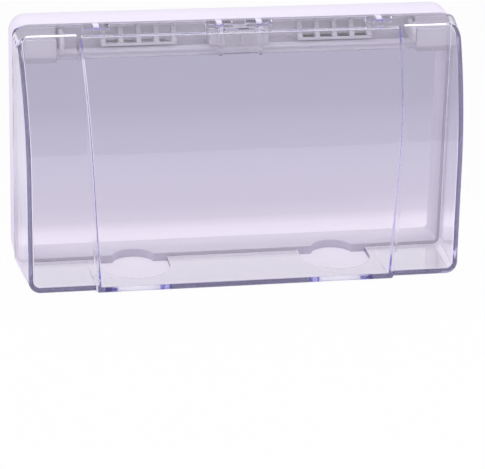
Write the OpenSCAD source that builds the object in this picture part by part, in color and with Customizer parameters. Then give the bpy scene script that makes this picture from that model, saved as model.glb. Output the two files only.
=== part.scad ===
// Splash cover for two wall sockets side by side.
// A white frame sticks to the wall round the sockets, and a clear bowed lid
// hangs from it on snap-in pins along the top edge.
// Millimetres. X is across, Z is up, the wall is the plane Y = 0 and the
// front of the cover looks along -Y. The origin is the centre of the wall face.

/* [Outline] */
// Width of the frame and of the lid at its rim
cover_w = 190; // [170:1:230]
// Height of the frame and of the lid at its rim
cover_h = 108; // [100:1:140]
// Corner radius of the outline
corner_r = 7; // [3:0.5:10]

/* [Wall frame] */
// Depth of the moulded frame, from the foam to the rim
frame_d = 16.5; // [12:0.5:24]
// Thickness of the side walls of the frame
side_wall = 3.4; // [2.6:0.1:5]
// Thickness of the bottom wall of the frame
bottom_wall = 3.6; // [2.6:0.1:5]
// Height of the hollow header along the top, which carries the hinge
header_h = 15.5; // [14:0.5:20]
// Thickness of the walls round the hollow of the header
header_wall = 2.5; // [1.6:0.1:3]
// Number of stiffening webs in the hollow of the header
web_count = 10; // [4:1:14]
// Thickness of a stiffening web
web_t = 1.4; // [1:0.1:2]
// Depth of the recess in the front of the header
recess_d = 5; // [3:0.5:6]
// Corner radius of the socket window
window_r = 1.5; // [0.5:0.5:4]

/* [Foam seal] */
// Thickness of the adhesive foam strip
foam_t = 1; // [0.5:0.1:2]
// Width of the adhesive foam strip
foam_w = 2.2; // [1.4:0.1:2.4]
// Distance of the strip from the outer edge of the frame
foam_margin = 0.2; // [0:0.1:0.2]

/* [Lid] */
// Depth of the whole cover at the lower edge of the lid
cover_d = 52; // [44:1:70]
// Wall thickness of the lid
lid_wall = 2; // [1.5:0.1:2.5]
// Radius of the bowed upper half of the front
bow_r = 93; // [80:1:120]
// Depth below the top edge at which the bow ends
bow_drop = 62; // [50:1:70]
// How far the front still leans out from the end of the bow to the bottom
chin_lean = 2; // [0:0.5:4]
// Draft of the side walls over the depth of the lid, each side
side_draft = 2.8; // [1:0.1:4]
// Draft of the top and bottom walls over the depth of the lid
end_draft = 1.8; // [0.5:0.1:3]
// Seam between the rim of the frame and the closed lid
seam_gap = 0.15; // [0.1:0.05:0.4]
// Half width of the raised panel at the top
panel_top = 69.5; // [60:0.5:78]
// Half width of the raised panel at the bottom
panel_bottom = 63.7; // [55:0.1:75]
// How far the raised panel stands out
panel_rise = 1.2; // [0.6:0.1:1.8]

/* [Cable exits] */
// Distance of each cable exit from the centre line
exit_x = 44; // [36:1:50]
// Width of the slot in the bottom wall of the lid
slot_w = 30; // [20:1:36]
// Length of the slot from the rim
slot_len = 24; // [18:0.5:28]
// Width of the notch in the rim of the frame
notch_w = 18; // [10:1:24]
// Depth of the notch behind the rim
notch_d = 6.5; // [3:0.5:8]

/* [Hinge] */
// Radius of the hinge barrels, and of the rear edge of the lid
bead_r = 2.2; // [1.9:0.05:2.6]
// Width of a barrel on each side of a knuckle
barrel_w = 4; // [2:0.5:5]
// Diameter of the hinge pins
pin_d = 2; // [1.6:0.1:2.2]
// Clearance round a pin in its bore, on the radius
pin_clear = 0.05; // [0.02:0.01:0.1]
// Radius of the knuckles on the frame
knuckle_r = 1.9; // [1.7:0.05:1.95]
// Width of a knuckle
knuckle_w = 2.5; // [2:0.5:5]
// Width of the slot that a pin snaps in through
snap_w = 1.5; // [1:0.1:1.6]
// Distance of the inner knuckles from the centre line
inner_knuckle_x = 8.5; // [8.5:0.5:10]
// Distance of the outer knuckles from the centre line
outer_knuckle_x = 60.4; // [59.8:0.1:63]
// Gap beside each knuckle
knuckle_gap = 0.3; // [0.2:0.1:1]
// Running gap between the barrels and what lies under them
bead_gap = 0.4; // [0.3:0.1:1]

/* [Hinge brackets] */
// Distance of the middle of a ribbed bracket from the centre line
bracket_x = 42; // [38:0.1:42.2]
// Width of a ribbed bracket
bracket_w = 32; // [28:0.5:32]
// Ribs in a bracket
rib_count = 5; // [3:1:7]
// Thickness of a rib
rib_t = 2; // [1.2:0.1:2.4]
// How far the foot of a rib stands out from the rim of the frame
rib_out = 1; // [0.5:0.1:1.5]
// How far the top of a rib stays back behind its foot
rib_slope = 3; // [2.5:0.1:3.5]
// Thickness of the shelf under the ribs
shelf_t = 1.4; // [1:0.1:2]
// How far the shelf stands out
shelf_out = 1.2; // [0.5:0.1:1.5]
// Top of the ribs, below the top of the cover
rib_top_drop = 3.6; // [3.6:0.1:5]
// Height of the ribs
rib_h = 6.8; // [6:0.1:7.2]
// Width of the centre block
centre_w = 25; // [24:1:30]
// How far the centre block stands out
centre_out = 3.5; // [2:0.5:5]
// Width of each lobe on the centre block
lobe_w = 6; // [5:0.5:6.5]
// Length of each lobe
lobe_h = 7; // [6.5:0.5:9]
// How far the lobes stand out from the centre block
lobe_out = 2.6; // [1.5:0.1:3]
// Slot between the two lobes
lobe_slot = 1.3; // [0.8:0.1:2]
// Width of a corner block
corner_block_w = 13; // [8:1:16]
// Height of a corner block
corner_block_h = 10; // [6:0.5:10]
// How far a corner block stands out
corner_block_out = 4.5; // [3:0.5:6]
// Gap between a corner block and the level of the underside of the barrels
corner_block_drop = 1.4; // [0.6:0.1:3]
// Gap between a corner block and the side of the lid
corner_block_gap = 2.9; // [2:0.1:5]
// Thickness of the rest for the lid beside a corner block
rest_t = 1.6; // [1:0.1:2.4]
// Gap between that rest and the corner block
rest_gap = 2.2; // [1:0.1:4]
// How far a rest stands out
rest_out = 7.5; // [5:0.5:7.5]
// How far the top of a rest stays back, as the bow of the lid does
rest_slope = 2; // [1:0.1:2.5]
// How far a drip ledge stands out
drip_out = 1.5; // [0.8:0.1:2.5]
// Height of a drip ledge
drip_h = 1.8; // [1:0.1:2]
// Height of the blunt front edge of a drip ledge
drip_edge = 0.6; // [0.3:0.1:0.9]
// Distance between the two drip ledges
drip_pitch = 2.5; // [2.2:0.1:3]

/* [Lid guide] */
// Distance between the middles of the guide legs
leg_pitch = 17; // [17:0.5:19]
// Thickness of a guide leg
leg_t = 2.3; // [1.5:0.1:3]
// Depth of a guide leg
leg_d = 3.6; // [2.5:0.1:4]
// Lower end of the guide legs, below the top of the cover
leg_drop = 14; // [12:0.5:18]
// Thickness of the plate between the legs
guide_plate_t = 1.2; // [0.8:0.1:1.6]
// Gap between the lobes and the plate
guide_gap = 0.9; // [0.5:0.1:2]

/* [Hidden] */

// Roundness of true circles, and of the corners that hull() blends
$fn = 64;
hull_fn = 32;
bow_fn = 256;
// Overlap that makes one solid of two shapes, and overrun of a cut
eps = 0.05;
over = 5;

// Depths from the wall
rim_d = foam_t + frame_d;
seam_d = rim_d + seam_gap;
lid_d = cover_d - seam_d;
// Heights of the outer faces
top_z = cover_h / 2;
bottom_z = -top_z;
// Socket window
window_w = cover_w - 2 * side_wall;
window_top = top_z - header_h;
window_bottom = bottom_z + bottom_wall;
// Hinge axis, flush with the top and the rear of the lid
axis_d = seam_d + bead_r;
axis_z = top_z - bead_r;
knuckle_xs = [-outer_knuckle_x, -inner_knuckle_x, inner_knuckle_x, outer_knuckle_x];
// Space in the lid round a knuckle, which also clears the raised lid
knuckle_slot_w = knuckle_w + 2 * knuckle_gap;
knuckle_slot_d = knuckle_r + bead_gap;
// Rear wall of the recess in the front of the header
recess_rear = rim_d - recess_d;
// Front of the lid: the bow is a circle that ends upright
bow_end_d = cover_d - chin_lean;
bow_end_z = top_z - bow_drop;
bow_centre_d = bow_end_d - bow_r;
// Brackets under the lid
rib_top = top_z - rib_top_drop;
rib_pitch = (bracket_w - rib_t) / (rib_count - 1);
corner_block_x = cover_w / 2 - lid_wall - corner_block_gap - corner_block_w;
corner_block_top = axis_z - bead_r - corner_block_drop;
drip_len = 2 * (corner_block_x + eps);
guide_front = rim_d + centre_out + lobe_out + guide_gap;
leg_rear = guide_front - (leg_d - guide_plate_t) / 2;
// Notch in the rim: a circle through its two ends and its deepest point
notch_r = (pow(notch_w / 2, 2) + pow(notch_d, 2)) / (2 * notch_d);

// A rounded rectangle, centred
module rounded_rect(w, h, r) {
    square([w - 2 * r, h], center = true);
    square([w, h - 2 * r], center = true);
    for (x = [-1, 1], z = [-1, 1])
        translate([x * (w / 2 - r), z * (h / 2 - r)]) circle(r);
}

// Extrudes a shape of the X-Z plane from depth d0 to depth d1
module from_to(d0, d1) {
    translate([0, -d0, 0]) rotate([90, 0, 0]) linear_extrude(d1 - d0) children();
}

// Extrudes a side view, drawn as depth and height, over a width
module across(w) {
    translate([w / 2, 0, 0]) rotate([90, 0, -90]) linear_extrude(w) children();
}

// A box given by its middle in X, its depths and its heights
module bar(x, w, d0, d1, z0, z1) {
    translate([x - w / 2, -d1, z0]) cube([w, d1 - d0, z1 - z0]);
}

// A cylinder on the hinge axis
module on_axis(r, w, x = 0) {
    translate([x - w / 2, -axis_d, axis_z]) rotate([0, 90, 0]) cylinder(r = r, h = w);
}

// A rib whose front slopes back above its foot
module rib(x, w, out, foot_h, slope) {
    front = rim_d + out;
    foot_z = rib_top - rib_h;
    translate([x, 0, 0]) across(w) polygon([
        [recess_rear - eps, foot_z], [front, foot_z], [front, foot_z + foot_h],
        [front - slope, rib_top], [recess_rear - eps, rib_top]
    ]);
}

// Ribbed bracket, which stiffens the header behind the hinge
module ribbed_bracket() {
    bar(0, bracket_w, recess_rear - eps, rim_d + shelf_out, rib_top - rib_h, rib_top - rib_h + shelf_t);
    for (i = [0 : rib_count - 1])
        rib((i - (rib_count - 1) / 2) * rib_pitch, rib_t, rib_out, shelf_t, rib_slope);
}

// Block in the middle with two round-ended lobes between the lid's guide legs
module centre_block() {
    lobe_r = lobe_w / 2;
    lobe_x = (lobe_slot + lobe_w) / 2;
    bar(0, centre_w, recess_rear - eps, rim_d + centre_out, rib_top - rib_h, rib_top);
    from_to(rim_d + centre_out - eps, rim_d + centre_out + lobe_out) {
        for (side = [-1, 1]) {
            translate([side * lobe_x, rib_top - lobe_h + lobe_r]) circle(lobe_r);
            translate([side * lobe_x - lobe_r, rib_top - lobe_h + lobe_r])
                square([lobe_w, lobe_h - lobe_r]);
        }
        translate([-lobe_x, rib_top - shelf_t]) square([2 * lobe_x, shelf_t]);
    }
}

// Sloping ledge that leads drips away from the sockets
module drip_ledge(z) {
    across(drip_len) polygon([
        [rim_d - eps, z], [rim_d + drip_out, z],
        [rim_d + drip_out, z + drip_edge], [rim_d - eps, z + drip_h]
    ]);
}

// Everything that stands on the front of the header
module header_front() {
    difference() {
        union() {
            for (side = [-1, 1]) {
                translate([side * bracket_x, 0, 0]) ribbed_bracket();
                bar(side * (corner_block_x + corner_block_w / 2), corner_block_w, rim_d - eps,
                    rim_d + corner_block_out, corner_block_top - corner_block_h, corner_block_top);
                rib(side * (corner_block_x - rest_gap), rest_t, rest_out, rib_h / 2, rest_slope);
            }
            centre_block();
        }
        on_axis(bead_r + bead_gap, cover_w);
    }
    drip_ledge(window_top + eps);
    drip_ledge(window_top + drip_pitch);
}

// Knuckle with a true bore and the slot that the pin snaps in through
module knuckle(x) {
    difference() {
        union() {
            on_axis(knuckle_r, knuckle_w, x);
            bar(x, knuckle_w, recess_rear - eps, axis_d, axis_z - knuckle_r, axis_z + knuckle_r);
        }
        on_axis(pin_d / 2 + pin_clear, knuckle_w + over, x);
        translate([x, -axis_d, axis_z]) rotate([-45, 0, 0])
            translate([-knuckle_w, -snap_w / 2, -over]) cube([2 * knuckle_w, snap_w, over]);
    }
}

// Hollow of the header, open to the wall, between its stiffening webs
module header_hollow() {
    web_pitch = (cover_w - 2 * header_wall) / (web_count + 1);
    difference() {
        bar(0, cover_w - 2 * header_wall - corner_r, 0, recess_rear - header_wall,
            window_top + header_wall, top_z - header_wall);
        for (i = [1 : web_count])
            bar((i - (web_count + 1) / 2) * web_pitch, web_t, foam_t, rim_d, window_top, top_z);
    }
}

// Recess in the front of the header, between the corner blocks
module header_recess() {
    bar(0, 2 * corner_block_x, recess_rear, rim_d + eps, window_top + header_wall, top_z - header_wall);
}

module base_frame() {
    color([0.95, 0.94, 0.98])
    union() {
        difference() {
            from_to(foam_t, rim_d) rounded_rect(cover_w, cover_h, corner_r);
            from_to(0, rim_d + over)
                translate([0, (window_top + window_bottom) / 2])
                    rounded_rect(window_w, window_top - window_bottom, window_r);
            header_hollow();
            header_recess();
            for (side = [-1, 1])
                translate([side * exit_x, -rim_d - notch_r + notch_d, bottom_z - over])
                    cylinder(r = notch_r, h = bottom_wall + 2 * over);
        }
        header_front();
        for (x = knuckle_xs) knuckle(x);
    }
}

// Side view of the lid, filled, grown or shrunk by an offset
module lid_side(grow) {
    intersection() {
        translate([bow_centre_d, bow_end_z]) circle(bow_r + grow, $fn = bow_fn);
        translate([0, bow_end_z - eps]) square([cover_d + over, cover_h]);
    }
    polygon([
        [0, bottom_z - over], [cover_d + grow, bottom_z - over],
        [cover_d + grow, bottom_z], [bow_end_d + grow, bow_end_z], [0, bow_end_z]
    ]);
}

// Drafted block with round corners, shrunk by an inset, from the seam forward
module lid_taper(inset) {
    reach = cover_d + over;
    grow = (reach - seam_d) / lid_d;
    hull() {
        from_to(seam_d - over, seam_d)
            rounded_rect(cover_w - 2 * inset, cover_h - 2 * inset, corner_r - inset, $fn = hull_fn);
        from_to(reach, reach + eps)
            rounded_rect(cover_w - 2 * (inset + side_draft * grow),
                cover_h - 2 * (inset + end_draft * grow), corner_r - inset, $fn = hull_fn);
    }
}

// Outline of the raised panel, narrower by an inset
module panel_outline(inset) {
    polygon([
        [-panel_bottom + inset, bottom_z - over], [panel_bottom - inset, bottom_z - over],
        [panel_top - inset, top_z + over], [-panel_top + inset, top_z + over]
    ]);
}

// Solid inside the outer faces of the lid
module lid_outer() {
    intersection() {
        lid_taper(0);
        union() {
            across(cover_w) lid_side(0);
            intersection() {
                across(cover_w) lid_side(panel_rise);
                from_to(0, cover_d + 2 * over) panel_outline(0);
            }
        }
    }
}

// Space inside the lid
module lid_inner() {
    intersection() {
        lid_taper(lid_wall);
        union() {
            across(cover_w) lid_side(-lid_wall);
            intersection() {
                across(cover_w) lid_side(panel_rise - lid_wall);
                from_to(0, cover_d + 2 * over) panel_outline(lid_wall);
            }
        }
    }
}

// Slot for a cable in the bottom wall: straight sides and a round end
module cable_slot(x) {
    end_d = rim_d + slot_len - slot_w / 2;
    translate([x, -end_d, bottom_z - over]) cylinder(d = slot_w, h = 2 * over);
    bar(x, slot_w, 0, end_d, bottom_z - over, bottom_z + over);
}

// A guide leg with round edges, hanging from the top wall
module guide_leg(x) {
    mid = leg_rear + leg_d / 2;
    reach = (leg_d - leg_t) / 2;
    translate([x, -mid, top_z - leg_drop]) linear_extrude(leg_drop) {
        square([leg_t, 2 * reach], center = true);
        for (end = [-1, 1]) translate([0, end * reach]) circle(leg_t / 2);
    }
}

// Two guide legs and the plate between them
module lid_guide() {
    intersection() {
        lid_outer();
        union() {
            for (side = [-1, 1]) guide_leg(side * leg_pitch / 2);
            bar(0, leg_pitch, guide_front, guide_front + guide_plate_t, top_z - leg_drop, top_z);
        }
    }
}

module clear_lid() {
    color([0.78, 0.76, 0.92, 0.45])
    union() {
        difference() {
            union() {
                difference() {
                    lid_outer();
                    lid_inner();
                    bar(0, 2 * cover_w, 0, seam_d, bottom_z - over, top_z + over);
                }
                for (x = knuckle_xs) on_axis(bead_r, knuckle_slot_w + 2 * barrel_w, x);
                lid_guide();
            }
            // Room behind the hinge axis for the raised lid to swing past the frame
            difference() {
                bar(0, 2 * cover_w, 0, axis_d, axis_z, top_z + over);
                on_axis(bead_r, 2 * cover_w + over);
            }
            for (x = knuckle_xs)
                bar(x, knuckle_slot_w, 0, axis_d + knuckle_slot_d, axis_z - bead_r - bead_gap, top_z + over);
            for (side = [-1, 1]) cable_slot(side * exit_x);
        }
        for (x = knuckle_xs) on_axis(pin_d / 2, knuckle_slot_w + 2 * eps, x);
    }
}

module foam_seal() {
    outer_w = cover_w - 2 * foam_margin;
    outer_h = cover_h - 2 * foam_margin;
    outer_r = corner_r - foam_margin;
    color([0.88, 0.88, 0.9])
    from_to(0, foam_t) difference() {
        rounded_rect(outer_w, outer_h, outer_r);
        rounded_rect(outer_w - 2 * foam_w, outer_h - 2 * foam_w, outer_r - foam_w);
    }
}

base_frame();
clear_lid();
foam_seal();
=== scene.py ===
"""Studio view of a splash cover for two wall sockets: a moulded white frame and a clear bowed lid.

Lengths in the constants are millimetres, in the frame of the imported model: X across, the wall
at Y = 0, the front towards -Y and Z up. Depth is measured from the wall, so it is -Y.
"""

import math

import bmesh
import bpy
import numpy as np
from mathutils import Matrix, Vector


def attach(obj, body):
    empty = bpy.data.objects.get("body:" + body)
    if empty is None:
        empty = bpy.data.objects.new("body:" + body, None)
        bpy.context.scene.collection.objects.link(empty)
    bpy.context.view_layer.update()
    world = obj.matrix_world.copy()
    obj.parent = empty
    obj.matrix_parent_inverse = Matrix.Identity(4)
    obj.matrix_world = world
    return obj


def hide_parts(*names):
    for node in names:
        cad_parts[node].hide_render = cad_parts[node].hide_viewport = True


MM = 0.001

# Outline of the cover
HALF_W = 95.0
HALF_H = 54.0
CORNER_R = 5.0
RIM_D = 17.5
SEAM_D = 17.65

# Front of the lid: a bow over the upper half, then a straight chin
COVER_D = 52.0
BOW_R = 93.0
BOW_END_Z = -8.0
CHIN_LEAN = 2.0
SIDE_DRAFT = 2.8
TOP_DRAFT = 7.0
BOTTOM_DRAFT = 1.3
WALL = 2.0
OUTER_EDGE = 1.3
INNER_EDGE = 0.7
PANEL_TOP = 69.5
PANEL_BOTTOM = 63.7
PANEL_RISE = 1.2
STEP_W = 0.9
STEP_SOFT = 0.35
STEP_SHIFT = 1.6

# Hinge along the top edge
AXIS_D = 19.85
AXIS_Z = 51.8
BARREL_R = 2.2
BARREL_LEN = 11.1
PIN_R = 1.0
KNUCKLE_X = (-60.4, -8.5, 8.5, 60.4)
KNUCKLE_SLOT_W = 3.1
KNUCKLE_SLOT_D = 2.3

# Cable slots in the bottom wall of the lid
EXIT_X = 44.0
SLOT_W = 30.0
SLOT_LEN = 24.0

# Guide on the inside of the lid's top wall
LEG_PITCH = 17.0
LEG_T = 2.3
LEG_D = 3.6
LEG_DROP = 14.0
LEG_TOP_Z = 51.4
GUIDE_MID = 25.1
GUIDE_PLATE = 1.2

# Ribbed brackets on the frame
BRACKET_X = 42.0
BRACKET_W = 32.0
RIB_COUNT = 5
RECESS_REAR_D = 12.5
RIB_T = 2.0
RIB_OUT = 1.0
RIB_TOP_Z = 50.4
RIB_H = 6.8
RIB_SLOPE = 3.0
SHELF_T = 1.4
SHELF_OUT = 1.2
MOULD_EDGE = 0.22

# The floor lies a hair below the cover, so that the two don't share a plane
FLOOR_GAP = 0.1

# Painted light and shade on the studio sweep, by distance behind the wall plane, in metres: painted bounce light near
# the wall, then painted shade that darkens further back
SWEEP_END = 0.26
PAINTED_SHADE_SWEEP = [(0.0, "#F8F2FE"), (0.013, "#F6EFFC"), (0.021, "#F0E9F6"), (0.033, "#D8D1E0"), (0.052, "#CEC8D9"),
         (0.093, "#C8C3D5"), (0.152, "#C2BDD0"), (0.2, "#B6B2C5"), (0.26, "#B3AFC2")]

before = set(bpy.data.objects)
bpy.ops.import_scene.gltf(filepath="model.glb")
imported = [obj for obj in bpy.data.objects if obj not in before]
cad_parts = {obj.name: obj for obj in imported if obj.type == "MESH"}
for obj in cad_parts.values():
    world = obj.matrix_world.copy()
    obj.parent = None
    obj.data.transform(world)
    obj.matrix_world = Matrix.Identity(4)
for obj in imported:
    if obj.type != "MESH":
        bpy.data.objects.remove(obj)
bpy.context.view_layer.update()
scene = bpy.context.scene
scene.view_settings.view_transform = "Standard"
# Light that runs inside a clear wall turns back many times before it leaves at an edge
scene.cycles.max_bounces = 32
scene.cycles.transmission_bounces = 32
scene.cycles.glossy_bounces = 32


def hex_colour(text):
    """The linear colour of an sRGB hex value."""
    parts = [int(text[i : i + 2], 16) / 255 for i in (1, 3, 5)]
    return [c / 12.92 if c <= 0.04045 else ((c + 0.055) / 1.055) ** 2.4 for c in parts] + [1.0]


def add(tree, kind, settings=None, **links):
    """Adds a node. Settings go to its properties, links to its inputs, as values or as sockets."""
    node = tree.nodes.new(kind)
    for name, value in (settings or {}).items():
        setattr(node, name, value)
    for name, value in links.items():
        key = int(name[1:]) if name[1:].isdigit() else name.replace("_", " ")
        socket = node.inputs[key]
        if isinstance(value, bpy.types.NodeSocket):
            tree.links.new(value, socket)
        else:
            socket.default_value = value
    return node


def new_material(name):
    """An empty node material with its output node."""
    material = bpy.data.materials.new(name)
    material.use_nodes = True
    material.node_tree.nodes.clear()
    return material, material.node_tree


def in_metres(points):
    """Points given as across, depth and height in millimetres, in the model's frame."""
    return [(x * MM, -d * MM, z * MM) for x, d, z in points]


def new_object(name, mesh):
    """An object at the origin that shows a mesh."""
    piece = bpy.data.objects.new(name, mesh)
    scene.collection.objects.link(piece)
    return piece


def mesh_object(name, points, faces):
    """An object from points in millimetres and its faces, with the faces turned outwards."""
    mesh = bpy.data.meshes.new(name)
    mesh.from_pydata(in_metres(points), [], faces)
    shape = bmesh.new()
    shape.from_mesh(mesh)
    bmesh.ops.recalc_face_normals(shape, faces=shape.faces)
    shape.to_mesh(mesh)
    shape.free()
    return new_object(name, mesh)


def prism(name, outline, x0, x1):
    """A solid from a side view, drawn as depth and height, between two places across."""
    n = len(outline)
    points = [(x, d, z) for x in (x0, x1) for d, z in outline]
    faces = [[i, (i + 1) % n, n + (i + 1) % n, n + i] for i in range(n)]
    faces += [list(range(n))[::-1], list(range(n, 2 * n))]
    return mesh_object(name, points, faces)


def post(name, *levels):
    """A solid from plans, drawn as across and depth, at rising heights."""
    n = len(levels[0][0])
    points = [(x, d, z) for outline, z in levels for x, d in outline]
    rings = [list(range(k * n, (k + 1) * n)) for k in range(len(levels))]
    faces = [face for a, b in zip(rings, rings[1:]) for face in strip(a, b)]
    return mesh_object(name, points, faces + [rings[0][::-1], rings[-1]])


def box(name, x, w, d0, d1, z0, z1):
    """A box given by its middle and width across, its depths and its heights."""
    return prism(name, [(d0, z0), (d1, z0), (d1, z1), (d0, z1)], x - w / 2, x + w / 2)


def rod(name, x, w, r, sides=64):
    """A round rod on the hinge axis."""
    turn = [2 * math.pi * i / sides for i in range(sides)]
    circle = [(AXIS_D + r * math.cos(t), AXIS_Z + r * math.sin(t)) for t in turn]
    return prism(name, circle, x - w / 2, x + w / 2)


def join(name, parts):
    """One object from several that don't touch each other."""
    shape = bmesh.new()
    for part in parts:
        shape.from_mesh(part.data)
        bpy.data.objects.remove(part)
    mesh = bpy.data.meshes.new(name)
    shape.to_mesh(mesh)
    shape.free()
    return new_object(name, mesh)


def combine(piece, operation, other):
    """Adds or cuts another solid, and removes it."""
    change = piece.modifiers.new("change", "BOOLEAN")
    change.operation = operation
    change.solver = "EXACT"
    change.object = other
    graph = bpy.context.evaluated_depsgraph_get()
    mesh = bpy.data.meshes.new_from_object(piece.evaluated_get(graph))
    piece.modifiers.clear()
    piece.data = mesh
    bpy.data.objects.remove(other)
    return piece


def smooth(piece, angle):
    """Smooth shading with an edge kept sharp where the faces turn by more than an angle."""
    mesh = piece.data
    mesh.polygons.foreach_set("use_smooth", [True] * len(mesh.polygons))
    mesh.set_sharp_from_angle(angle=math.radians(angle))
    return piece


# ---- Camera -------------------------------------------------------------------------------


def make_camera():
    """The camera of the photograph: a long lens, above the cover and to its left."""
    pitch, yaw, roll = (math.radians(a) for a in (21.17, 11.13, 1.43))
    forward = Vector((math.sin(yaw) * math.cos(pitch), math.cos(yaw) * math.cos(pitch), -math.sin(pitch)))
    right = Vector((math.cos(yaw), -math.sin(yaw), 0))
    up = right.cross(forward)
    across = math.cos(roll) * right + math.sin(roll) * up
    upright = -math.sin(roll) * right + math.cos(roll) * up
    data = bpy.data.cameras.new("camera")
    data.lens, data.sensor_width = 175.5, 36
    data.clip_start, data.clip_end = 0.05, 50
    camera = new_object("camera", data)
    place = Vector((7.839, 0, -50.685)) * MM - forward * 1.04994
    camera.matrix_world = Matrix.Translation(place) @ Matrix((across, upright, -forward)).transposed().to_4x4()
    scene.camera = camera


# ---- Lid ----------------------------------------------------------------------------------


def front_depth(z, inset):
    """Depth of the front of the lid at a height, on the outer face where inset is 0."""
    up = np.maximum(z - BOW_END_Z, 0)
    bow = COVER_D - CHIN_LEAN - BOW_R + np.sqrt((BOW_R - inset) ** 2 - up**2)
    lean = np.maximum(BOW_END_Z - z, 0) * CHIN_LEAN / (BOW_END_Z + HALF_H)
    return bow + lean


def panel_foot(z, inset):
    """Where the foot of the panel's oblique step runs at a height."""
    share = (z + HALF_H) / (2 * HALF_H)
    return PANEL_BOTTOM + (PANEL_TOP - PANEL_BOTTOM) * share + STEP_W / 2 - (STEP_SHIFT if inset else 0)


def step_ramp(u):
    """From 0 to 1 up the step, with a small round at its foot and at its top."""
    foot = (np.clip(u, -STEP_SOFT, STEP_SOFT) + STEP_SOFT) ** 2 / (4 * STEP_SOFT)
    top = (STEP_SOFT + 1 - np.clip(u, 1 - STEP_SOFT, 1 + STEP_SOFT)) ** 2 / (4 * STEP_SOFT)
    return np.where(u < STEP_SOFT, foot, np.where(u > 1 - STEP_SOFT, 1 - top, u))


def half_sizes(depth, inset, raised):
    """Half width, height above the middle and depth below it, of the drafted lid, which has half the draft under its panel."""
    share = (depth - SEAM_D) / (COVER_D - SEAM_D)
    up = HALF_H - TOP_DRAFT * share - inset
    down = HALF_H - BOTTOM_DRAFT * (1 - raised / 2) * share - inset
    return HALF_W - SIDE_DRAFT * share - inset, up, down


def lid_lines():
    """Grid lines of the lid: each is how far it lies in its corner, its span and its share of that span."""
    corner = np.linspace(0, 1, 9)[1:]
    ramp = [1 + STEP_SOFT, 1 + STEP_SOFT / 2, 1, 1 - STEP_SOFT / 2, 1 - STEP_SOFT, 0.5,
            STEP_SOFT, STEP_SOFT / 2, 0, -STEP_SOFT / 2, -STEP_SOFT]
    middle = [(0.0, "middle", s) for s in np.linspace(0, 1, 13)[:-1]]
    step = [(0.0, "step", s) for s in ramp]
    side = [(0.0, "side", s) for s in np.linspace(0, 1, 5)[1:]]
    half = middle + step + side + [(p, "side", 1.0) for p in corner]
    columns = [(-1, *line) for line in half[:0:-1]] + [(1, *line) for line in half]
    heights = np.linspace(-1, 1, 91)
    rows = [(-p, -1.0) for p in corner[::-1]] + [(0.0, h) for h in heights] + [(p, 1.0) for p in corner]
    return columns, rows


def lid_place(columns, rows, depth, inset, shrink):
    """Across and height of the grid points, at the depth that each one has."""
    panel = {"middle": lambda s: 1.0, "step": step_ramp, "side": lambda s: 0.0}
    raised = np.array([float(panel[span](s)) for _, _, span, s in columns])[None, :]
    half_w, up, down = half_sizes(depth, inset + shrink, raised)
    radius = CORNER_R - inset - shrink
    corner_z = np.array([r[0] for r in rows])[:, None]
    share_z = np.array([r[1] for r in rows])[:, None]
    corner_x = np.array([c[1] for c in columns])[None, :]
    sign = np.array([c[0] for c in columns])[None, :]
    z = share_z * (np.where(share_z > 0, up, down) - radius) + radius * corner_z * np.sqrt(1 - corner_x**2 / 2)
    foot = panel_foot(z, inset)
    top_edge = foot - STEP_W * (1 + STEP_SOFT)
    side_start = foot + STEP_W * STEP_SOFT
    flat = np.zeros_like(z)
    for i, (_, _, span, s) in enumerate(columns):
        if span == "middle":
            flat[:, i] = s * top_edge[:, i]
        elif span == "step":
            flat[:, i] = foot[:, i] - STEP_W * s
        else:
            flat[:, i] = side_start[:, i] + s * (half_w - radius - side_start)[:, i]
    x = sign * (flat + radius * corner_x * np.sqrt(1 - corner_z**2 / 2))
    return x, z


def lid_front(columns, rows, inset, shrink):
    """Grid of points on the front of the lid, within an outline shrunk by a little."""
    depth = np.full((len(rows), len(columns)), COVER_D)
    for _ in range(6):
        x, z = lid_place(columns, rows, depth, inset, shrink)
        rise = PANEL_RISE * step_ramp((panel_foot(z, inset) - abs(x)) / STEP_W)
        depth = front_depth(z, inset) + rise
    return np.stack([x, depth, z], axis=-1)


def lid_skin(columns, rows, inset, edge):
    """Front grid of one skin of the lid, then the rings round its edge and back to the rim."""
    front = lid_front(columns, rows, inset, edge)
    last_row, last_column = len(rows) - 1, len(columns) - 1
    loop = [(0, i) for i in range(last_column)] + [(j, last_column) for j in range(last_row)]
    loop += [(last_row, i) for i in range(last_column, 0, -1)] + [(j, 0) for j in range(last_row, 0, -1)]
    pick_j, pick_i = np.array(loop).T
    start = front[pick_j, pick_i]
    corner = lid_front(columns, rows, inset, 0.0)[pick_j, pick_i]
    reach = np.linalg.norm(start - corner, axis=1)

    def on_wall(depth):
        full = np.zeros((len(rows), len(columns)))
        full[pick_j, pick_i] = depth
        x, z = lid_place(columns, rows, full, inset, 0.0)
        return np.stack([x[pick_j, pick_i], depth, z[pick_j, pick_i]], axis=-1)

    end = on_wall(corner[:, 1] - reach)
    along = ((start - corner) * (end - corner)).sum(1) / np.maximum(reach, 1e-6) ** 2
    weight = np.sqrt(np.clip((1 - along) / 2, 0.05, 1))[:, None]
    rings = []
    for t in np.linspace(0, 1, 7)[1:]:
        a, b, c = (1 - t) ** 2, 2 * t * (1 - t) * weight, t**2
        rings.append((a * start + b * corner + c * end) / (a + b + c))
    for t in np.linspace(0, 1, 8)[1:]:
        rings.append(on_wall(end[:, 1] * (1 - t) + SEAM_D * t))
    return front, rings, loop


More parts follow.
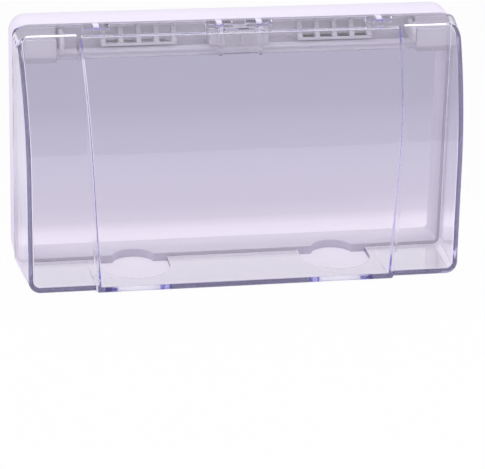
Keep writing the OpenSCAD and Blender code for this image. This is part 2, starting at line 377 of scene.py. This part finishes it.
def lid_shell():
    """The closed shell of the lid: an outer and an inner skin that meet in its rim."""
    columns, rows = lid_lines()
    wide, high = len(columns), len(rows)
    points, faces, rims = [], [], []
    for inset, edge in ((0.0, OUTER_EDGE), (WALL, INNER_EDGE)):
        front, rings, loop = lid_skin(columns, rows, inset, edge)
        base = len(points)
        points += front.reshape(-1, 3).tolist()
        faces += [
            [base + j * wide + i, base + j * wide + i + 1, base + (j + 1) * wide + i + 1, base + (j + 1) * wide + i]
            for j in range(high - 1)
            for i in range(wide - 1)
        ]
        ring = [base + j * wide + i for j, i in loop]
        for row in rings:
            following = list(range(len(points), len(points) + len(loop)))
            points += row.tolist()
            faces += strip(ring, following)
            ring = following
        rims.append(ring)
    faces += strip(*rims)
    return mesh_object("splash_lid", points, faces)


def strip(ring, following):
    """Faces between two closed rings of points."""
    n = len(ring)
    return [[ring[k], ring[(k + 1) % n], following[(k + 1) % n], following[k]] for k in range(n)]


def swing_relief():
    """What is cut away behind the hinge axis, so that the raised lid clears the frame."""
    arc = np.linspace(math.pi, math.pi / 2, 17)
    outline = [(AXIS_D + BARREL_R * math.cos(t), AXIS_Z + BARREL_R * math.sin(t)) for t in arc]
    outline += [(AXIS_D, HALF_H + 2), (SEAM_D - 2, HALF_H + 2), (SEAM_D - 2, AXIS_Z)]
    return prism("swing_relief", outline, -HALF_W - 2, HALF_W + 2)


def cable_slot(x):
    """What is cut from the bottom wall for a cable: straight sides and a round end."""
    end = RIM_D + SLOT_LEN - SLOT_W / 2
    turn = np.linspace(0, math.pi, 33)
    outline = [(x + SLOT_W / 2 * math.cos(t), end + SLOT_W / 2 * math.sin(t)) for t in turn]
    outline += [(x - SLOT_W / 2, SEAM_D - 2), (x + SLOT_W / 2, SEAM_D - 2)]
    return post("cable_slot", (outline, -HALF_H - 3), (outline, -HALF_H + 5))


def guide_leg(x):
    """A leg of the guide: a flat post with round edges and a round foot."""
    straight = (LEG_D - LEG_T) / 2
    turn = np.linspace(0, math.pi, 17)

    def plan(r):
        front = [(x + r * math.cos(t), GUIDE_MID + straight + r * math.sin(t)) for t in turn]
        return front + [(x - r * math.cos(t), GUIDE_MID - straight - r * math.sin(t)) for t in turn]

    r, bottom = LEG_T / 2, HALF_H - LEG_DROP
    foot = [(plan(r * math.sin(t)), bottom + r - r * math.cos(t)) for t in np.linspace(0.15, math.pi / 2, 7)]
    return post("guide_leg", *foot, (plan(r), LEG_TOP_Z))


def make_lid():
    """The clear lid with its hinge barrels, pins, guide and cable slots."""
    lid = lid_shell()
    combine(lid, "UNION", join("barrels", [rod("barrel", x, BARREL_LEN, BARREL_R) for x in KNUCKLE_X]))
    for side in (-1, 1):
        combine(lid, "UNION", guide_leg(side * LEG_PITCH / 2))
    plate_w = LEG_PITCH - LEG_T + 0.1
    plate_rear = GUIDE_MID - GUIDE_PLATE / 2
    plate = box("plate", 0, plate_w, plate_rear, plate_rear + GUIDE_PLATE, HALF_H - LEG_DROP + 1, LEG_TOP_Z)
    combine(lid, "UNION", plate)
    combine(lid, "DIFFERENCE", swing_relief())
    slots = [
        box("slot", x, KNUCKLE_SLOT_W, SEAM_D - 2, AXIS_D + KNUCKLE_SLOT_D, AXIS_Z - BARREL_R - 0.4, HALF_H + 2)
        for x in KNUCKLE_X
    ]
    slots += [cable_slot(side * EXIT_X) for side in (-1, 1)]
    combine(lid, "DIFFERENCE", join("slots", slots))
    pins = [rod("pin", x, KNUCKLE_SLOT_W + 0.2, PIN_R, 32) for x in KNUCKLE_X]
    combine(lid, "UNION", join("pins", pins))
    return smooth(lid, 32)


# ---- Wall frame ---------------------------------------------------------------------------


def soften(piece, width, angle=30):
    """Rounds the sharp edges of a solid as a mould leaves them."""
    shape = bmesh.new()
    shape.from_mesh(piece.data)
    bmesh.ops.remove_doubles(shape, verts=shape.verts, dist=1e-6)
    bmesh.ops.dissolve_limit(shape, angle_limit=math.radians(0.5), verts=shape.verts, edges=shape.edges)
    sharp = [e for e in shape.edges if e.is_manifold and e.calc_face_angle(0) > math.radians(angle)]
    bmesh.ops.bevel(shape, geom=sharp, offset=width * MM, segments=2, profile=0.5, affect="EDGES", clamp_overlap=True)
    shape.to_mesh(piece.data)
    shape.free()
    return smooth(piece, 40)


def make_wall_frame():
    """The moulded frame: a merged copy of the solid with rounded edges, open where the brackets go."""
    shape = bmesh.new()
    shape.from_mesh(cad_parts["base_frame"].data)
    bmesh.ops.remove_doubles(shape, verts=shape.verts, dist=1e-6)
    mesh = bpy.data.meshes.new("wall_frame")
    shape.to_mesh(mesh)
    shape.free()
    piece = new_object("wall_frame", mesh)
    gaps = [
        box("bracket_gap", side * BRACKET_X, BRACKET_W + 0.2, RECESS_REAR_D + 0.02, RIM_D + RIB_OUT + 1,
            RIB_TOP_Z - RIB_H - 0.1, RIB_TOP_Z + 0.1)
        for side in (-1, 1)
    ]
    combine(piece, "DIFFERENCE", join("bracket_gaps", gaps))
    return soften(piece, MOULD_EDGE)


def bracket_tree():
    """Nodes that make the ribbed brackets: a row of ribs with sloping fronts on a shelf."""
    tree = bpy.data.node_groups.new("ribbed_brackets", "GeometryNodeTree")
    kinds = {"Rib Count": "NodeSocketInt", "Material": "NodeSocketMaterial"}
    for name in ("Foot", "Head", "Shelf"):
        kinds[name + " Size"] = kinds[name + " Place"] = "NodeSocketVector"
    for name in ("Rib Slope", "First Rib", "Rib Pitch", "First Bracket", "Bracket Pitch"):
        kinds[name] = "NodeSocketVector"
    for name, kind in kinds.items():
        tree.interface.new_socket(name, in_out="INPUT", socket_type=kind)
    tree.interface.new_socket("Brackets", in_out="OUTPUT", socket_type="NodeSocketGeometry")
    given = add(tree, "NodeGroupInput").outputs

    def block(name, **top_edge):
        """A block of a given size in its place, with its upper front edge moved where that is asked."""
        solid = add(tree, "GeometryNodeMeshCube", Size=given[name + " Size"]).outputs["Mesh"]
        if top_edge:
            solid = add(tree, "GeometryNodeSetPosition", Geometry=solid, **top_edge).outputs["Geometry"]
        return add(tree, "GeometryNodeTransform", Geometry=solid, Translation=given[name + " Place"]).outputs["Geometry"]

    def row(shape, count, first, pitch):
        """Copies of a shape in a row across."""
        line = add(tree, "GeometryNodeMeshLine", Count=count, Start_Location=first, Offset=pitch).outputs["Mesh"]
        copies = add(tree, "GeometryNodeInstanceOnPoints", Points=line, Instance=shape).outputs["Instances"]
        return add(tree, "GeometryNodeRealizeInstances", Geometry=copies).outputs["Geometry"]

    corner = add(tree, "ShaderNodeSeparateXYZ", Vector=add(tree, "GeometryNodeInputPosition").outputs["Position"])
    front = add(tree, "ShaderNodeMath", {"operation": "LESS_THAN"}, _0=corner.outputs["Y"], _1=0.0)
    upper = add(tree, "ShaderNodeMath", {"operation": "GREATER_THAN"}, _0=corner.outputs["Z"], _1=0.0)
    edge = add(tree, "ShaderNodeMath", {"operation": "MULTIPLY"}, _0=front.outputs["Value"], _1=upper.outputs["Value"])
    head = block("Head", Selection=edge.outputs["Value"], Offset=given["Rib Slope"])
    bracket = add(tree, "GeometryNodeMeshBoolean", {"operation": "UNION", "solver": "EXACT"})
    for shape in (
        row(block("Foot"), given["Rib Count"], given["First Rib"], given["Rib Pitch"]),
        row(head, given["Rib Count"], given["First Rib"], given["Rib Pitch"]),
        block("Shelf"),
    ):
        tree.links.new(shape, bracket.inputs["Mesh 2"])
    pair = row(bracket.outputs["Mesh"], 2, given["First Bracket"], given["Bracket Pitch"])
    dressed = add(tree, "GeometryNodeSetMaterial", Geometry=pair, Material=given["Material"]).outputs["Geometry"]
    add(tree, "NodeGroupOutput", Brackets=dressed)
    return tree


def slab(w, out, top, high):
    """Size and place, in metres, of a block from the rear of the recess out past the rim."""
    deep = RIM_D + out - RECESS_REAR_D
    return [v * MM for v in (w, deep, high)], [v * MM for v in (0, -(RECESS_REAR_D + deep / 2), top - high / 2)]


def make_brackets(material):
    """The two ribbed brackets that stiffen the header behind the hinge."""
    tree = bracket_tree()
    piece = new_object("hinge_brackets", bpy.data.meshes.new("hinge_brackets"))
    nodes = piece.modifiers.new("ribs", "NODES")
    nodes.node_group = tree
    foot = RIB_TOP_Z - RIB_H + SHELF_T
    span = BRACKET_W - RIB_T
    values = {
        "Rib Count": RIB_COUNT, "Rib Slope": (0, RIB_SLOPE * MM, 0), "Material": material,
        "First Rib": (-span / 2 * MM, 0, 0), "Rib Pitch": (span / (RIB_COUNT - 1) * MM, 0, 0),
        "First Bracket": (-BRACKET_X * MM, 0, 0), "Bracket Pitch": (2 * BRACKET_X * MM, 0, 0),
    }
    values["Foot Size"], values["Foot Place"] = slab(RIB_T, RIB_OUT, foot, SHELF_T)
    values["Head Size"], values["Head Place"] = slab(RIB_T, RIB_OUT, RIB_TOP_Z, RIB_H - SHELF_T)
    values["Shelf Size"], values["Shelf Place"] = slab(BRACKET_W, SHELF_OUT, foot, SHELF_T)
    for socket in tree.interface.items_tree:
        if socket.in_out == "INPUT":
            nodes[socket.identifier] = values[socket.name]
    graph = bpy.context.evaluated_depsgraph_get()
    mesh = bpy.data.meshes.new_from_object(piece.evaluated_get(graph))
    piece.modifiers.clear()
    piece.data = mesh
    return soften(piece, MOULD_EDGE)


# ---- Materials ----------------------------------------------------------------------------


def moulded_abs():
    """White ABS, injection moulded in a finely eroded tool: an even satin with a faint grain."""
    material, tree = new_material("white_abs_moulded_satin")
    place = add(tree, "ShaderNodeTexCoord")
    grain = add(tree, "ShaderNodeTexNoise", Vector=place.outputs["Object"], Scale=1800.0, Detail=2.0)
    flow = add(tree, "ShaderNodeTexNoise", Vector=place.outputs["Object"], Scale=28.0, Detail=3.0)
    tint = add(tree, "ShaderNodeMix", {"data_type": "RGBA"}, Factor=flow.outputs["Fac"], _6=hex_colour("#F1EDF8"), _7=hex_colour("#F5F1FB"))
    gloss = add(tree, "ShaderNodeMapRange", Value=grain.outputs["Fac"], To_Min=0.32, To_Max=0.46)
    bump = add(tree, "ShaderNodeBump", Strength=0.08, Distance=0.0001, Height=grain.outputs["Fac"])
    shader = add(tree, "ShaderNodeBsdfPrincipled", Base_Color=tint.outputs["Result"], Roughness=gloss.outputs["Result"],
                 IOR=1.54, Normal=bump.outputs["Normal"])
    add(tree, "ShaderNodeOutputMaterial", Surface=shader.outputs["BSDF"])
    return material


def clear_polycarbonate():
    """Clear polycarbonate from a polished tool: no colour through its face, violet blue along its edges."""
    material, tree = new_material("clear_polycarbonate_polished")
    place = add(tree, "ShaderNodeTexCoord")
    waves = add(tree, "ShaderNodeTexNoise", Vector=place.outputs["Object"], Scale=55.0, Detail=1.0)
    haze = add(tree, "ShaderNodeTexNoise", Vector=place.outputs["Object"], Scale=900.0, Detail=2.0)
    gloss = add(tree, "ShaderNodeMapRange", Value=haze.outputs["Fac"], To_Min=0.01, To_Max=0.035)
    bump = add(tree, "ShaderNodeBump", Strength=0.05, Distance=0.001, Height=waves.outputs["Fac"])
    shader = add(tree, "ShaderNodeBsdfPrincipled", Base_Color=hex_colour("#FFFFFF"), Roughness=gloss.outputs["Result"],
                 IOR=1.585, Transmission_Weight=1.0, Normal=bump.outputs["Normal"])
    depth = add(tree, "ShaderNodeVolumeAbsorption", Color=hex_colour("#3000F9"), Density=7.0)
    add(tree, "ShaderNodeOutputMaterial", Surface=shader.outputs["BSDF"], Volume=depth.outputs["Volume"])
    return material


def foam_tape():
    """Closed-cell foam tape: matt, with fine round cells at its cut edges."""
    material, tree = new_material("closed_cell_foam_tape")
    place = add(tree, "ShaderNodeTexCoord")
    cells = add(tree, "ShaderNodeTexVoronoi", Vector=place.outputs["Object"], Scale=2600.0)
    tint = add(tree, "ShaderNodeMix", {"data_type": "RGBA"}, Factor=cells.outputs["Distance"], _6=hex_colour("#D2D0D6"), _7=hex_colour("#E4E2E8"))
    bump = add(tree, "ShaderNodeBump", Strength=0.4, Distance=0.0002, Height=cells.outputs["Distance"])
    shader = add(tree, "ShaderNodeBsdfPrincipled", Base_Color=tint.outputs["Result"], Roughness=0.9, Normal=bump.outputs["Normal"])
    add(tree, "ShaderNodeOutputMaterial", Surface=shader.outputs["BSDF"])
    return material


def dress(piece, material):
    """Gives a piece its one material."""
    piece.data.materials.clear()
    piece.data.materials.append(material)
    return piece


# ---- Stage --------------------------------------------------------------------------------


def ramp(node, stops):
    """Sets the stops of a colour ramp."""
    elements = node.color_ramp.elements
    while len(elements) < len(stops):
        elements.new(0.5)
    for element, (place, colour) in zip(elements, stops):
        element.position, element.color = place, hex_colour(colour)


def make_floor():
    """A pale floor. It shows white to the camera. Through the lid and in reflections it shows a painted lavender sweep,
    with painted shade further back and a painted pool of light to the left of the cover, and it emits that painted
    light though it is no lamp.
    """
    half = 3.0
    z = (-HALF_H - FLOOR_GAP) * MM
    mesh = bpy.data.meshes.new("floor")
    mesh.from_pydata([(-half, -half, z), (half, -half, z), (half, half, z), (-half, half, z)], [], [[0, 1, 2, 3]])
    floor = new_object("floor", mesh)
    material, tree = new_material("studio_sweep_painted_shade")
    place = add(tree, "ShaderNodeTexCoord")
    split = add(tree, "ShaderNodeSeparateXYZ", Vector=place.outputs["Object"])
    behind = add(tree, "ShaderNodeMapRange", Value=split.outputs["Y"], From_Min=0.0, From_Max=SWEEP_END)
    # Painted shade: lighter near the wall, darker further behind it
    sweep = add(tree, "ShaderNodeValToRGB", Fac=behind.outputs["Result"])
    ramp(sweep, [(y / SWEEP_END, colour) for y, colour in PAINTED_SHADE_SWEEP])
    # Painted light: the floor turns white to the left of the cover, a painted pool of light that the lid's left wall
    # reflects
    painted_light_left = add(tree, "ShaderNodeMapRange", Value=split.outputs["X"], From_Min=-0.13, From_Max=-0.1)
    painted_light_and_shade = add(tree, "ShaderNodeMix", {"data_type": "RGBA"}, Factor=painted_light_left.outputs["Result"],
               _6=hex_colour("#FBF8FF"), _7=sweep.outputs["Color"]).outputs["Result"]
    paper = add(tree, "ShaderNodeBsdfDiffuse", Color=painted_light_and_shade)
    # Painted light: the floor emits its painted colours to rays that come through or off the lid, though it is no lamp
    painted_glow = add(tree, "ShaderNodeEmission", Color=painted_light_and_shade, Strength=1.0)
    white = add(tree, "ShaderNodeEmission", Color=(1, 1, 1, 1), Strength=1.0)
    path = add(tree, "ShaderNodeLightPath")
    behind_glass = add(tree, "ShaderNodeMath", {"operation": "MAXIMUM"}, _0=path.outputs["Is Transmission Ray"], _1=path.outputs["Is Glossy Ray"])
    through = add(tree, "ShaderNodeMath", {"operation": "MULTIPLY"}, _0=behind_glass.outputs["Value"], _1=0.6)
    behind_lid = add(tree, "ShaderNodeMixShader", Fac=through.outputs["Value"], _1=paper.outputs["BSDF"], _2=painted_glow.outputs["Emission"])
    share = add(tree, "ShaderNodeMath", {"operation": "MULTIPLY"}, _0=path.outputs["Is Camera Ray"], _1=0.97)
    seen = add(tree, "ShaderNodeMixShader", Fac=share.outputs["Value"], _1=behind_lid.outputs["Shader"], _2=white.outputs["Emission"])
    add(tree, "ShaderNodeOutputMaterial", Surface=seen.outputs["Shader"])
    dress(floor, material)


def make_world():
    """Soft light that is brightest overhead, and white where the camera looks past the floor."""
    world = bpy.data.worlds.new("studio")
    world.use_nodes = True
    tree = world.node_tree
    tree.nodes.clear()
    place = add(tree, "ShaderNodeTexCoord")
    toward = add(tree, "ShaderNodeVectorMath", {"operation": "DOT_PRODUCT"}, _0=place.outputs["Generated"], _1=(-0.35, 0.7, 0.62))
    height = add(tree, "ShaderNodeMapRange", Value=toward.outputs["Value"], From_Min=-0.75, From_Max=0.85)
    sky = add(tree, "ShaderNodeValToRGB", Fac=height.outputs["Result"])
    sky.color_ramp.elements[0].color = hex_colour("#BAB6C8")
    sky.color_ramp.elements[1].color = hex_colour("#FBF8FF")
    soft = add(tree, "ShaderNodeBackground", Color=sky.outputs["Color"], Strength=0.9)
    white = add(tree, "ShaderNodeBackground", Color=(1, 1, 1, 1), Strength=1.0)
    path = add(tree, "ShaderNodeLightPath")
    seen = add(tree, "ShaderNodeMixShader", Fac=path.outputs["Is Camera Ray"], _1=soft.outputs["Background"], _2=white.outputs["Background"])
    add(tree, "ShaderNodeOutputWorld", Surface=seen.outputs["Shader"])
    scene.world = world


def softbox(name, place, aim, wide, high, watts):
    """A large soft lamp."""
    data = bpy.data.lights.new(name, "AREA")
    data.shape, data.size, data.size_y, data.energy = "RECTANGLE", wide, high, watts
    data.color = hex_colour("#FBF8FF")[:3]
    lamp = new_object(name, data)
    lamp.location = place
    lamp.rotation_euler = (Vector(aim) - Vector(place)).to_track_quat("-Z", "Y").to_euler()


make_camera()
make_world()
make_floor()
softbox("front_softbox", (0.0, -0.5, 1.1), (0, 0, 0), 1.3, 0.6, 2.6)
softbox("overhead_softbox", (0.0, 0.15, 1.2), (0, 0, 0), 1.3, 0.6, 2.3)
softbox("left_strip", (-0.3, -1.4, 0.6), (0, 0, 0), 0.08, 1.3, 0.4)
softbox("right_strip", (0.9, -1.3, 0.6), (0, 0, 0), 0.08, 1.3, 0.5)

abs_white = moulded_abs()
wall_frame = dress(make_wall_frame(), abs_white)
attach(wall_frame, "frame")
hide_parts("base_frame")

brackets = dress(make_brackets(abs_white), abs_white)
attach(brackets, "frame")
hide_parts("base_frame")

lid = dress(make_lid(), clear_polycarbonate())
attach(lid, "lid")
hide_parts("clear_lid")

dress(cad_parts["foam_seal"], foam_tape())
